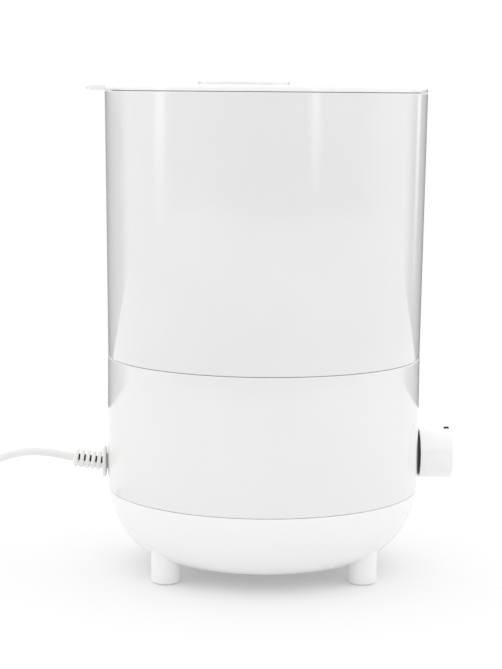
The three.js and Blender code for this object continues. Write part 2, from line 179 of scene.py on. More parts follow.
# Moulded plastic: a cloudy tint, faint handling marks in the gloss, sparse dust, a slow
# waviness of the wall and the fine grain of the mould.
def mouldedPlastic(name, look):
    material, wire = blankMaterial(name)
    place = wire.node("ShaderNodeTexCoord", output="Object")
    cloud = noise(wire, place, look["cloud"], 4.0)
    tint = blend(wire, spread(wire, cloud, 0.3, 0.7), look["colour"], look["shade"])
    dots = wire.node("ShaderNodeTexVoronoi", None, {"Vector": place, "Scale": look["dust"]})
    dust = (dots < look["dustSize"]) * (noise(wire, place, look["dustPatches"]) > look["dustFree"])
    tinted = blend(wire, dust * look["dustTint"], tint, look["dustColour"])
    worn = spread(wire, noise(wire, place, look["marks"], 6.0, 0.65), 0.5, 0.75)
    roughness = look["roughness"] + worn * look["wornRoughness"] + dust * look["dustRoughness"]
    wave = noise(wire, place, look["wave"], 1.0)
    grain = noise(wire, place, look["grain"])
    height = wave * look["waveHeight"] + grain * look["grainHeight"] + dust * look["dustHeight"]
    shader = wire.node("ShaderNodeBsdfPrincipled", None, {
        "Base Color": tinted, "Roughness": roughness, "Normal": bumps(wire, height), "IOR": look["ior"]})
    closeMaterial(wire, shader)
    return material


# Metal: fine streaks one way and a little uneven dulling.
def drawnMetal(name, look):
    material, wire = blankMaterial(name)
    place = wire.node("ShaderNodeTexCoord", output="Object")
    long = wire.node("ShaderNodeMapping", None, {"Vector": place, "Scale": look["stretch"]})
    streaks = noise(wire, long, look["grain"], 3.0)
    dull = noise(wire, place, look["dulling"], 5.0, 0.6)
    tint = blend(wire, spread(wire, dull, 0.35, 0.7), look["colour"], look["shade"])
    roughness = look["roughness"] + (streaks + spread(wire, dull, 0.5, 0.8)) * look["dulled"]
    shader = wire.node("ShaderNodeBsdfPrincipled", None, {
        "Base Color": tint, "Roughness": roughness, "Metallic": 1.0,
        "Normal": bumps(wire, streaks * look["streakHeight"])})
    closeMaterial(wire, shader)
    return material


# Closed-cell foam: small round cells with darker rims.
def closedFoam(name, look):
    material, wire = blankMaterial(name)
    place = wire.node("ShaderNodeTexCoord", output="Object")
    cells = wire.node("ShaderNodeTexVoronoi", {"feature": "DISTANCE_TO_EDGE"}, {
        "Vector": place, "Scale": look["cells"]})
    depth = spread(wire, cells, 0.0, 0.12)
    tint = blend(wire, depth, look["shade"], look["colour"])
    shader = wire.node("ShaderNodeBsdfPrincipled", None, {
        "Base Color": tint, "Roughness": look["roughness"],
        "Normal": bumps(wire, depth * look["cellHeight"])})
    closeMaterial(wire, shader)
    return material


# Circuit board: solder mask over a pattern of copper tracks, with bright pads.
def circuitBoard(name, look):
    material, wire = blankMaterial(name)
    place = wire.node("ShaderNodeTexCoord", output="Object")
    blocks = wire.node("ShaderNodeTexBrick", {"offset": 0.5}, {
        "Vector": place, "Scale": look["tracks"], "Color1": look["colour"], "Color2": look["shade"],
        "Mortar": look["copper"], "Mortar Size": 0.03, "Brick Width": 0.9, "Row Height": 0.35})
    pads = wire.node("ShaderNodeTexVoronoi", None, {
        "Vector": place, "Scale": look["pads"], "Randomness": 0.4})
    shine = (pads < look["padSize"]) * (noise(wire, place, 60.0) > 0.5)
    tint = blend(wire, shine, blocks, look["solder"])
    mottled = blend(wire, noise(wire, place, 400.0, 3.0) * 0.3, tint, look["shade"])
    shader = wire.node("ShaderNodeBsdfPrincipled", None, {
        "Base Color": mottled, "Roughness": 0.45 - shine * 0.2, "Metallic": shine * 0.9,
        "Normal": bumps(wire, shine * look["padHeight"])})
    closeMaterial(wire, shader)
    return material


glossy = {"cloud": 14.0, "marks": 60.0, "wornRoughness": 0.05, "wave": 16.0, "waveHeight": 0.2,
          "grain": 1400.0, "grainHeight": 0.003, "roughness": 0.06, "ior": 1.5,
          "dust": 230.0, "dustSize": 0.035, "dustPatches": 37.0, "dustFree": 0.62, "dustHeight": 0.01,
          "dustTint": 0.35, "dustRoughness": 0.2, "dustColour": colour(0.62, 0.61, 0.6)}
satin = {**glossy, "roughness": 0.35, "grainHeight": 0.02, "dustColour": colour(0.7, 0.7, 0.69)}
metal = {"streakHeight": 0.02, "roughness": 0.2, "dulling": 90.0, "dulled": 0.15}
finishes = {
    # The lid, tank, housing, bottom cup and knob are one white plastic in lit and shaded copies: each
    # part's white is painted light and shade, with the lid, cup and knob painted lighter for the light
    # from above and the floor's bounce, and the tank painted greyer.
    "lid_white": (mouldedPlastic, {**glossy, "colour": colour(0.982, 0.982, 0.982),
                                   "shade": colour(0.972, 0.972, 0.972)}),
    "tank_white": (mouldedPlastic, {**glossy, "colour": colour(0.935, 0.935, 0.934),
                                    "shade": colour(0.92, 0.92, 0.919)}),
    "base_white": (mouldedPlastic, {**glossy, "colour": colour(0.944, 0.944, 0.942),
                                    "shade": colour(0.935, 0.935, 0.933)}),
    "cup_white": (mouldedPlastic, {**glossy, "colour": colour(0.985, 0.985, 0.984),
                                   "shade": colour(0.977, 0.977, 0.976)}),
    "knob_white": (mouldedPlastic, {**glossy, "colour": colour(0.98, 0.98, 0.978),
                                    "shade": colour(0.97, 0.97, 0.968), "roughness": 0.16}),
    "inner_white": (mouldedPlastic, {**satin, "colour": colour(0.93, 0.93, 0.93),
                                     "shade": colour(0.91, 0.91, 0.91)}),
    "seal_rubber": (mouldedPlastic, {**satin, "colour": colour(0.84, 0.84, 0.83), "roughness": 0.55,
                                     "shade": colour(0.8, 0.8, 0.79), "grainHeight": 0.03}),
    "black_plastic": (mouldedPlastic, {**satin, "colour": colour(0.11, 0.11, 0.11), "roughness": 0.4,
                                       "shade": colour(0.08, 0.08, 0.08), "grainHeight": 0.03,
                                       "dustColour": colour(0.3, 0.3, 0.3)}),
    "board_green": (circuitBoard, {"colour": colour(0.07, 0.32, 0.17), "shade": colour(0.05, 0.25, 0.13),
                                   "copper": colour(0.12, 0.42, 0.22), "tracks": 90.0, "pads": 160.0,
                                   "padSize": 0.16, "padHeight": 0.1,
                                   "solder": colour(0.75, 0.75, 0.74)}),
    "steel": (drawnMetal, {**metal, "colour": colour(0.8, 0.81, 0.82), "shade": colour(0.7, 0.71, 0.73),
                           "stretch": (1, 1, 0.05), "grain": 900.0}),
    "aluminium": (drawnMetal, {**metal, "colour": colour(0.87, 0.88, 0.89),
                               "shade": colour(0.8, 0.81, 0.82),
                               "stretch": (1, 0.05, 1), "grain": 700.0, "roughness": 0.3}),
    "brass": (drawnMetal, {**metal, "colour": colour(0.86, 0.76, 0.5), "shade": colour(0.78, 0.66, 0.4),
                           "stretch": (0.08, 1, 1), "grain": 900.0}),
    "winding_yellow": (mouldedPlastic, {**satin, "colour": colour(0.85, 0.7, 0.2),
                                        "shade": colour(0.78, 0.62, 0.14)}),
    "foam_white": (closedFoam, {"colour": colour(0.95, 0.945, 0.93), "shade": colour(0.86, 0.855, 0.83),
                                "cells": 900.0, "cellHeight": 0.12, "roughness": 0.8}),
    "ferrite": (mouldedPlastic, {**satin, "colour": colour(0.3, 0.3, 0.31), "roughness": 0.5,
                                 "shade": colour(0.22, 0.22, 0.23), "grainHeight": 0.06}),
    "cord_white": (mouldedPlastic, {**satin, "colour": colour(0.95, 0.95, 0.945), "roughness": 0.3,
                                    "shade": colour(0.935, 0.935, 0.928), "grainHeight": 0.015}),
}
materials = {slot: make(slot, look) for slot, (make, look) in finishes.items()}
for row in frame["record"]["subparts"]:
    mesh = nodes[row["node"]].data
    mesh.materials.clear()
    mesh.materials.append(materials[row["material_slot"]])
print("materials made:", len(materials))


# ---- making pieces ----
def linkPiece(name, data, body, slot, stands):
    piece = bpy.data.objects.new(name, data)
    bpy.context.scene.collection.objects.link(piece)
    data.materials.append(materials[slot])
    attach(piece, body)
    if stands:
        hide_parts(*stands)
    return piece


def finishPiece(name, bm, slot, body, stands=(), sharp=35):
    bmesh.ops.recalc_face_normals(bm, faces=bm.faces)
    for face in bm.faces:
        face.smooth = True
    mesh = bpy.data.meshes.new(name)
    bm.to_mesh(mesh)
    bm.free()
    mesh.set_sharp_from_angle(angle=math.radians(sharp))
    return linkPiece(name, mesh, body, slot, stands)


# An outline of (radius, height, rounding) spun about Z. An open one leaves two rims to be bridged.
def turn(outline, steps, closed=True):
    bm = bmesh.new()
    corners = [bm.verts.new((radius, 0, height)) for radius, height, _ in outline]
    ends = corners[1:] + corners[:1] if closed else corners[1:]
    for pair in zip(corners, ends):
        bm.edges.new(pair)
    for corner, (_, _, rounding) in zip(corners, outline):
        if rounding:
            bmesh.ops.bevel(bm, geom=[corner], offset=rounding, offset_type="OFFSET", segments=5,
                            profile=0.5, affect="VERTICES", material=-1)
    bmesh.ops.spin(bm, geom=bm.verts[:] + bm.edges[:], cent=(0, 0, 0), axis=(0, 0, 1), dvec=(0, 0, 0),
                   angle=2 * math.pi, steps=steps, use_merge=True)
    bmesh.ops.remove_doubles(bm, verts=bm.verts, dist=1e-6)
    return bm


def shift(bm, x, y):
    bmesh.ops.translate(bm, verts=bm.verts, vec=(x, y, 0))
    return bm


def aim(bm, matrix):
    bmesh.ops.transform(bm, matrix=matrix, verts=bm.verts)
    return bm


# A flat loop of points, as edges that bridge_loops can take.
def loop(bm, points):
    verts = [bm.verts.new(point) for point in points]
    return [bm.edges.new(pair) for pair in zip(verts, verts[1:] + verts[:1])]


def circlePoints(x, y, z, radius, count):
    turns = [2 * math.pi * i / count for i in range(count)]
    return [(x + radius * math.cos(t), y + radius * math.sin(t), z) for t in turns]


# The points of a rounded slot from low to high in x, spaced by angle from its middle.
def slotPoints(low, high, half, corner, z, count):
    points = []
    tiny = 1e-9
    for i in range(count):
        t = 2 * math.pi * i / count
        c, s = math.cos(t), math.sin(t)
        reach = min((high if c > 0 else -low) / max(abs(c), tiny), half / max(abs(s), tiny))
        x, y = reach * c, reach * s
        cx = (high if x > 0 else -low) - corner
        cy = half - corner
        if abs(x) > cx and abs(y) > cy:
            away = Vector((abs(x) - cx, abs(y) - cy))
            away = away.normalized() * corner
            x, y = math.copysign(cx + away.x, x), math.copysign(cy + away.y, y)
        points.append((x, y, z))
    return points


# The open rim of a turned piece at a height and a radius.
def boundaryAt(bm, z, radius):
    near = 1e-5
    return [e for e in bm.edges if e.is_boundary and all(
        abs(v.co.z - z) < near and abs(v.co.xy.length - radius) < near for v in e.verts)]


def openEdges(bm):
    return [e for e in bm.edges if e.is_boundary]


# Rounds every edge that bends by more than the least angle, in degrees.
def rounded(bm, offset, segments=3, least=30):
    edges = [e for e in bm.edges if len(e.link_faces) == 2
             and e.calc_face_angle(0) > math.radians(least)]
    bmesh.ops.bevel(bm, geom=edges, offset=offset, segments=segments, profile=0.5, affect="EDGES",
                    material=-1, clamp_overlap=True)
    return bm


# A flat outline of (x, y) drawn out along Z.
def prism(points, low, high):
    bm = bmesh.new()
    base = bm.faces.new([bm.verts.new((x, y, low)) for x, y in points])
    grown = bmesh.ops.extrude_face_region(bm, geom=[base])
    tops = [v for v in grown["geom"] if isinstance(v, bmesh.types.BMVert)]
    bmesh.ops.translate(bm, verts=tops, vec=(0, 0, high - low))
    return bm


# A block between two corners; offset rounds its edges.
def blockOf(low, high, offset=0):
    bm = bmesh.new()
    size = Vector(high) - Vector(low)
    bmesh.ops.create_cube(bm, size=1, matrix=Matrix.Translation((Vector(low) + Vector(high)) / 2)
                          @ Matrix.Diagonal((*size, 1)))
    return rounded(bm, offset) if offset else bm


# A plain tube about a CAD node's own middle, with its top edges rounded.
def makeTube(name, node, wall, edge, body):
    low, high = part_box(node)
    centre = middle(node)
    outer = halfWidth(node)
    bm = turn([(outer - wall, low.z, 0), (outer, low.z, 0), (outer, high.z, edge),
               (outer - wall, high.z, edge)], steps=96)
    finishPiece(name, shift(bm, centre.x, centre.y), "inner_white", body, [node])


# ---- power cord: a lead down to the floor, a coil of two layers and a tail to the plug ----
cordSpec = {
    "diameter": 5 * mm,
    "length": 1.45,
    "coilMiddle": (-240 * mm, 37.9 * mm),
    "outerTurn": 37.9 * mm,
    "innerTurn": 22.1 * mm,
    "turns": 19 / 3,
    "pointsPerTurn": 14,
    "topLayer": 7.8 * mm,
    "floorLayer": 2.6 * mm,
    "dropStart": 0.46,
    "dropShare": 0.08,
    "startAngle": -90,
}
cordLead = [
    (-115.4, 0, 66.3), (-121, 0, 67.4), (-127, 0, 68.6), (-134, 0, 69.5), (-142, 0, 69.7), (-151, 0, 68.5),
    (-160, 0, 65.4), (-168, 0, 60.7), (-175, 0, 54.5), (-181, 0, 47), (-187, 0, 39.3), (-193, 0, 31.8),
    (-199, 0, 25), (-206, 0, 18.5), (-212, 0, 14.1), (-218, 0, 11), (-225, 0, 8.8), (-232, 0.4, 7.9),
]
cordTail = [
    (-268.5, 65, 2.6), (-261.6, 76.1, 2.7), (-257.5, 82.3, 2.7), (-251.5, 87.4, 3.4), (-244, 90.4, 5),
    (-236.9, 91.1, 5.9),
]


# Winds in on the top layer, drops near the middle of its length and winds out on the floor.
def coilPoints(spec):
    points = []
    count = round(spec["turns"] * spec["pointsPerTurn"])
    x, y = spec["coilMiddle"]
    for i in range(count + 1):
        share = i / count
        angle = math.radians(spec["startAngle"]) - 2 * math.pi * spec["turns"] * share
        inward = 1 - abs(2 * share - 1)
        radius = spec["outerTurn"] + (spec["innerTurn"] - spec["outerTurn"]) * inward
        drop = min(max((share - spec["dropStart"]) / spec["dropShare"], 0), 1)
        drop = drop * drop * (3 - 2 * drop)
        height = spec["topLayer"] + (spec["floorLayer"] - spec["topLayer"]) * drop
        points.append((x + radius * math.cos(angle), y + radius * math.sin(angle), height))
    return points


def makeCord(spec):
    lead = [tuple(value * mm for value in point) for point in cordLead]
    tail = [tuple(value * mm for value in point) for point in cordTail]
    points = lead + coilPoints(spec) + tail
    data = bpy.data.curves.new("powerCord", "CURVE")
    data.dimensions = "3D"
    data.bevel_depth = spec["diameter"] / 2
    data.bevel_resolution = 4
    data.resolution_u = 5
    data.use_fill_caps = True
    spline = data.splines.new("BEZIER")
    spline.bezier_points.add(len(points) - 1)
    for knot, point in zip(spline.bezier_points, points):
        knot.co = point
        knot.handle_left_type = knot.handle_right_type = "AUTO"
    stands = ["power_cord_lead", "cord_coil", "power_cord_tail"]
    cord = linkPiece("powerCord", data, "base", "cord_white", stands)


# ---- plug: a waisted grip seen from above as (along, half width), with two flat blades ----
plugSpec = {
    "edge": 1.3 * mm,
    "bladeEdge": 0.25 * mm,
    "side": [
        (0, 3.4), (1, 4.1), (3.5, 4.5), (6, 4.9), (8, 6.4), (9.5, 8), (11.5, 9.2), (14, 9.9), (16.5, 10),
        (19.5, 9.5), (23, 9.1), (26.5, 9.3), (29.5, 9.9), (32, 10.5), (33.6, 10.4), (34.5, 9.4),
    ],
}


def makePlug(spec):
    low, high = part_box("plug_body")
    y = (low.y + high.y) / 2
    outline = [(low.x + x * mm, y + half * mm) for x, half in spec["side"]]
    outline += [(low.x + x * mm, y - half * mm) for x, half in reversed(spec["side"])]
    bm = prism(outline, low.z, high.z)
    rims = [e for e in bm.edges if abs(e.verts[0].co.z - e.verts[1].co.z) < 0.1 * mm]
    bmesh.ops.bevel(bm, geom=rims, offset=spec["edge"], segments=5, profile=0.5, affect="EDGES",
                    material=-1, clamp_overlap=True)
    finishPiece("plugBody", bm, "cord_white", "base", ["plug_body"], sharp=50)
    for number in (1, 2):
        bladeLow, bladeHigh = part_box(f"plug_blade_{number}")
        blade = blockOf(bladeLow, bladeHigh, spec["bladeEdge"])
        finishPiece(f"plugBlade{number}", blade, "brass", "base", [f"plug_blade_{number}"], sharp=30)


makePlug(plugSpec)
makeCord(cordSpec)
print("cord and plug laid")

# ---- lid ----
lidSpec = {
    "edge": 2.6 * mm,
    "lowEdge": 0.35 * mm,
    "gap": 0.3 * mm,
    "skirt": 2.5 * mm,
    "skirtEdge": 0.5 * mm,
    "skirtCorner": 0.4 * mm,
    "sealDepth": 1.2 * mm,
    "neckClear": 2.7 * mm,
    "flat": 60 * mm,
    "steps": 192,
}


def lidUnder(spec):
    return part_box("tank_shell")[1].z + spec["gap"]


def makeLid(spec):
    low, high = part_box("lid")
    outer = halfWidth("lid")
    plate = lidUnder(spec)
    skirt = -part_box("lid_seal")[0].x - spec["sealDepth"]
    inner = skirt - spec["skirt"]
    hole = middle("mist_nozzle")
    neck = halfWidth("nozzle_retainer") - spec["neckClear"]
    flat = spec["flat"]
    bm = turn([
        (flat, high.z, 0), (outer, high.z, spec["edge"]), (outer, plate, spec["lowEdge"]),
        (skirt, plate, 0), (skirt, low.z, spec["skirtEdge"]), (inner, low.z, spec["skirtEdge"]),
        (inner, plate, spec["skirtCorner"]), (flat, plate, 0)], spec["steps"], False)
    for height in (high.z, plate):
        rim = loop(bm, circlePoints(hole.x, hole.y, height, neck, spec["steps"]))
        bmesh.ops.bridge_loops(bm, edges=boundaryAt(bm, height, flat) + rim)
    bmesh.ops.bridge_loops(bm, edges=openEdges(bm))
    finishPiece("lidPlate", bm, "lid_white", "lid", ["lid"])


# The tab at the back: a flat tongue with rounded ends, let into the lid's edge.
tabSpec = {
    "half": 16 * mm,
    "reach": 15.6 * mm,
    "under": 0.2 * mm,
    "over": 0.4 * mm,
    "edge": 0.9 * mm,
    "corner": 5 * mm,
}


def makeLidTab(spec):
    low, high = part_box("lid")
    plate = lidUnder(lidSpec)
    tab = blockOf((low.x, -spec["half"], plate + spec["under"]),
                  (low.x + spec["reach"], spec["half"], high.z - spec["over"]))
    ends = [e for e in tab.edges if abs(e.verts[0].co.z - e.verts[1].co.z) > 1 * mm
            and e.verts[0].co.x < low.x + 1 * mm]
    bmesh.ops.bevel(tab, geom=ends, offset=spec["corner"], segments=8, profile=0.5, affect="EDGES",
                    material=-1)
    rounded(tab, spec["edge"], 4, 60)
    finishPiece("lidTab", tab, "lid_white", "lid", sharp=40)


makeLid(lidSpec)
makeLidTab(tabSpec)

# ---- mist nozzle ----
nozzleSpec = {
    "edge": 0.9 * mm,
    "lowEdge": 0.2 * mm,
    "corner": 0.3 * mm,
    "neckEdge": 0.5 * mm,
    "wall": 2.2 * mm,
    "plate": 1.8 * mm,
    "disc": 2 * mm,
    "neck": 19.2 * mm,
    "flat": 16.5 * mm,
    "slot": (-9 * mm, 15 * mm, 6 * mm, 4.5 * mm),
    "steps": 128,
}


def makeNozzle(spec):
    low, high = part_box("mist_nozzle")
    centre = middle("mist_nozzle")
    outer = halfWidth("mist_nozzle")
    disc = high.z - spec["disc"]
    neck = spec["neck"]
    under = high.z - spec["plate"]
    flat = spec["flat"]
    bm = turn([
        (flat, high.z, 0), (outer, high.z, spec["edge"]), (outer, disc, spec["lowEdge"]),
        (neck, disc, spec["corner"]), (neck, low.z, spec["neckEdge"]),
        (neck - spec["wall"], low.z, spec["neckEdge"]), (neck - spec["wall"], under, spec["lowEdge"]),
        (flat, under, 0)], spec["steps"], False)
    slotLow, slotHigh, half, corner = spec["slot"]
    for height in (high.z, under):
        rim = loop(bm, slotPoints(slotLow, slotHigh, half, corner, height, spec["steps"]))
        bmesh.ops.bridge_loops(bm, edges=boundaryAt(bm, height, flat) + rim)
    bmesh.ops.bridge_loops(bm, edges=openEdges(bm))
    finishPiece("mistNozzle", shift(bm, centre.x, centre.y), "lid_white", "nozzle", ["mist_nozzle"])


makeNozzle(nozzleSpec)
print("lid and nozzle made")

# ---- tank ----
tankSpec = {
    "wall": 2.6 * mm,
    "footInset": 0.1 * mm,
    "rimRound": 0.7 * mm,
    "seamRound": 0.3 * mm,
    "chimneyWall": 2.2 * mm,
    "chimneyRound": 0.8 * mm,
}


def makeTank(spec):
    low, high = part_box("tank_shell")
    foot = halfWidth("base_housing") - spec["footInset"]
    rim = halfWidth("tank_shell")
    outline = [
        (foot - spec["wall"], low.z, spec["seamRound"]), (foot, low.z, spec["seamRound"]),
        (rim, high.z, spec["rimRound"]), (rim - spec["wall"], high.z, spec["rimRound"])]
    finishPiece("tankShell", turn(outline, steps=256), "tank_white", "tank", ["tank_shell"])
    makeTube("mistChimney", "mist_chimney", spec["chimneyWall"], spec["chimneyRound"], "tank")


makeTank(tankSpec)

# ---- refill valve under the tank ----
valveSpec = {
    "hole": 8.8 * mm,
    "holeEdge": 0.2 * mm,
    "plate": 2.4 * mm,
    "wall": 2.2 * mm,
    "edge": 0.7 * mm,
    "topEdge": 0.5 * mm,
    "innerEdge": 0.3 * mm,
    "ribs": 20,
    "ribWidth": 1.4 * mm,
    "ribDepth": 0.6 * mm,
    "ribRoot": 0.4 * mm,
    "ribFoot": 1.6 * mm,
    "ribHead": 1.2 * mm,
    "ribEdge": 0.3 * mm,
}


def makeValveCap(spec):
    low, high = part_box("valve_cap")
    centre = middle("valve_cap")
    outer = halfWidth("valve_cap")
    inner = outer - spec["wall"]
    plate = low.z + spec["plate"]
    bm = turn([(spec["hole"], low.z, spec["holeEdge"]), (outer, low.z, spec["edge"]),
               (outer, high.z, spec["topEdge"]), (inner, high.z, spec["innerEdge"]),
               (inner, plate, spec["innerEdge"]), (spec["hole"], plate, spec["holeEdge"])], steps=96)
    for i in range(spec["ribs"]):
        rib = blockOf((outer - spec["ribRoot"], -spec["ribWidth"] / 2, low.z + spec["ribFoot"]),
                      (outer + spec["ribDepth"], spec["ribWidth"] / 2, high.z - spec["ribHead"]),
                      spec["ribEdge"])
        aim(rib, Matrix.Rotation(2 * math.pi * i / spec["ribs"], 4, "Z"))
        mesh = bpy.data.meshes.new("rib")
        rib.to_mesh(mesh)
        rib.free()
        bm.from_mesh(mesh)
        bpy.data.meshes.remove(mesh)
    finishPiece("valveCapSkirt", shift(bm, centre.x, centre.y), "inner_white", "tank")


makeValveCap(valveSpec)
print("tank made")

# ---- base housing ----
housingSpec = {
    "wall": 2.6 * mm,
    "seamRound": 0.8 * mm,
    "topInner": 0.3 * mm,
    "lowRound": 0.3 * mm,
    "lowInner": 0.2 * mm,
    "straight": 57 * mm,
    "bend": 6 * mm,
    "footInset": 0.45 * mm,
    "footDrop": 0.05 * mm,
    "innerInset": 0.5 * mm,
    "innerDrop": 0.1 * mm,
}


def makeHousing(spec):
    low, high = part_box("base_housing")
    radius = halfWidth("base_housing")
    inner = radius - spec["wall"]
    outline = [
        (inner - spec["innerInset"], low.z - spec["innerDrop"], spec["lowInner"]),
        (radius - spec["footInset"], low.z - spec["footDrop"], spec["lowRound"]),
        (radius, spec["straight"], spec["bend"]), (radius, high.z, spec["seamRound"]),
        (inner, high.z, spec["topInner"])]
    finishPiece("baseHousing", turn(outline, steps=256), "base_white", "base", ["base_housing"])


makeHousing(housingSpec)

# ---- tray, air riser and valve pin, seen when the tank is lifted ----
traySpec = {
    "floorInner": 83.6 * mm,
    "floorOuter": 86 * mm,
    "floorRound": 1.5 * mm,
    "wallInner": 86.6 * mm,
    "wallOuter": 89 * mm,
    "flange": 2.5 * mm,
    "gap": 0.3 * mm,
    "edge": 0.8 * mm,
    "lowEdge": 0.3 * mm,
    "underCorner": 0.4 * mm,
    "corner": 0.5 * mm,
    "innerEdge": 0.6 * mm,
    "riserWall": 2.2 * mm,
    "pinRound": 1.2 * mm,
}


def makeTray(spec):
    low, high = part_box("tray_rim")
    outer = halfWidth("tray_rim")
    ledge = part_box("tray_ledge")[1].z + spec["gap"]
    flange = ledge + spec["flange"]
    outline = [
        (spec["floorInner"], low.z, 0), (spec["floorOuter"], low.z, spec["floorRound"]),
        (spec["floorOuter"], ledge, spec["underCorner"]), (outer, ledge, spec["lowEdge"]),
        (outer, flange, spec["edge"]), (spec["wallOuter"], flange, spec["corner"]),
        (spec["wallOuter"], high.z, spec["edge"]), (spec["wallInner"], high.z, spec["edge"]),
        (spec["wallInner"], flange, spec["corner"]), (spec["floorInner"], flange, spec["innerEdge"])]
    finishPiece("trayRim", turn(outline, steps=192), "inner_white", "base", ["tray_rim"])
    makeTube("riserTube", "riser_tube", spec["riserWall"], spec["edge"], "base")
    low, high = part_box("valve_pin")
    centre = middle("valve_pin")
    radius = halfWidth("valve_pin")
    outline = [(0, low.z, 0), (radius, low.z, 0), (radius, high.z, spec["pinRound"]), (0, high.z, 0)]
    bm = turn(outline, steps=48)
    finishPiece("valvePin", shift(bm, centre.x, centre.y), "inner_white", "base", ["valve_pin"])


makeTray(traySpec)

# ---- bottom cup: an oval bowl, flat in the middle, whose curve starts at the split ----
cupSpec = {
    "flat": 58.3 * mm,
    "wide": 36 * mm,
    "wall": 2.6 * mm,
    "split": 64.62 * mm,
    "centre": 57 * mm,
    "seam": 0.3 * mm,
    "topRound": 0.25 * mm,
    "steps": 40,
}


def makeCup(spec):
    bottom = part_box("cup_floor")[0].z
    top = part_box("base_housing")[0].z - spec["seam"]
    outline = []
    for inset in (0, spec["wall"]):
        deep = spec["centre"] - bottom - inset
        wide = spec["wide"] - inset
        start = math.asin((spec["split"] - spec["flat"]) / wide)
        end = math.acos((spec["centre"] - top) / deep)
        shares = [start + (end - start) * i / spec["steps"] for i in range(spec["steps"] + 1)]
        if inset:
            shares.reverse()
        outline += [(spec["flat"] + wide * math.sin(share), spec["centre"] - deep * math.cos(share), 0)
                    for share in shares]
    rim = spec["steps"]
    outline[rim] = (outline[rim][0], outline[rim][1], spec["topRound"])
    finishPiece("bottomCup", turn(outline, steps=256), "cup_white", "base", ["bottom_cup"], sharp=50)


makeCup(cupSpec)

# ---- feet: round stubs with a hole for the pad, their tops let into the bowl's wall ----
footSpec = {
    "edge": 1.8 * mm,
    "padHole": 6.9 * mm,
    "padDepth": 1.6 * mm,
    "holeEdge": 0.2 * mm,
    "top": 19 * mm,
    "into": 1.3 * mm,
}


def makeFeet(spec):
    wide = cupSpec["wide"] - spec["into"]
    deep = cupSpec["centre"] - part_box("cup_floor")[0].z - spec["into"]
    for number in (1, 2, 3, 4):
        node = f"foot_{number}"
        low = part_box(node)[0]
        centre = middle(node)
        radius = halfWidth(node)
        bm = turn([(0, spec["padDepth"], 0), (spec["padHole"], spec["padDepth"], spec["holeEdge"]),
                   (spec["padHole"], low.z, spec["holeEdge"]), (radius, low.z, spec["edge"]),
                   (radius, spec["top"], 0), (0, spec["top"], 0)], steps=64)
        shift(bm, centre.x, centre.y)
        for vert in bm.verts:
            if vert.co.z > spec["top"] - 0.1 * mm:
                out = max((vert.co.xy.length - cupSpec["flat"]) / wide, 0)
                vert.co.z = cupSpec["centre"] - deep * math.sqrt(max(1 - out * out, 0))
        finishPiece(f"foot{number}", bm, "cup_white", "base", [node])


makeFeet(footSpec)
print("base made")

# ---- knob: a hollow cap whose bore fits the shaft, its pointer and the bezel behind it ----
knobSpec = {
    "bore": 3.3 * mm,
    "boreEnd": 16 * mm,
    "boss": 5.5 * mm,
    "bossStart": 2.8 * mm,
    "hollow": 12.4 * mm,
    "hollowEnd": 8.8 * mm,
    "hollowRound": 1 * mm,
    "rim": 2.6 * mm,
    "dish": 3.0 * mm,
    "fine": 0.2 * mm,
    "edge": 1.0 * mm,
    "skirtEdge": 0.35 * mm,
    "pointerEdge": 0.5 * mm,
    "face": 0.35 * mm,
    "bezelBore": 4.2 * mm,
    "bezelRing": 12 * mm,
    "bezelPlate": 2 * mm,
    "bezelEdge": 0.3 * mm,
}
towardsFront = Matrix.Rotation(math.radians(90), 4, "Y")


def makeKnob(spec):
    low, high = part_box("knob")
    outer = halfWidth("knob")
    front = Matrix.Translation((0, 0, middle("knob").z)) @ towardsFront
    face = high.x - spec["face"]
    bm = turn([
        (spec["bore"], low.x + spec["boreEnd"], 0), (spec["bore"], low.x + spec["bossStart"], 0),
        (spec["boss"], low.x + spec["bossStart"], 0), (spec["boss"], low.x + spec["hollowEnd"], 0),
        (spec["hollow"], low.x + spec["hollowEnd"], spec["hollowRound"]),
        (spec["hollow"], low.x, spec["fine"]), (outer, low.x, spec["skirtEdge"]),
        (outer, high.x, spec["edge"]), (outer - spec["rim"], high.x, 0),
        (outer - spec["dish"], face, spec["fine"]), (0, face, 0),
        (0, low.x + spec["boreEnd"], 0)], steps=128)
    finishPiece("knobCap", aim(bm, front), "knob_white", "knob", ["knob"])
    low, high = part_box("knob_pointer")
    pointer = blockOf(low, high, spec["pointerEdge"])
    finishPiece("knobPointer", pointer, "black_plastic", "knob", ["knob_pointer"])
    low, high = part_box("knob_bezel")
    outer = halfWidth("knob_bezel")
    plate = low.x + spec["bezelPlate"]
    bm = turn([(spec["bezelBore"], low.x, 0), (outer, low.x, 0), (outer, high.x, spec["bezelEdge"]),
               (spec["bezelRing"], high.x, spec["fine"]), (spec["bezelRing"], plate, 0),
               (spec["bezelBore"], plate, 0)], steps=96)
    finishPiece("knobBezel", aim(bm, front), "black_plastic", "base", ["knob_bezel"])


makeKnob(knobSpec)

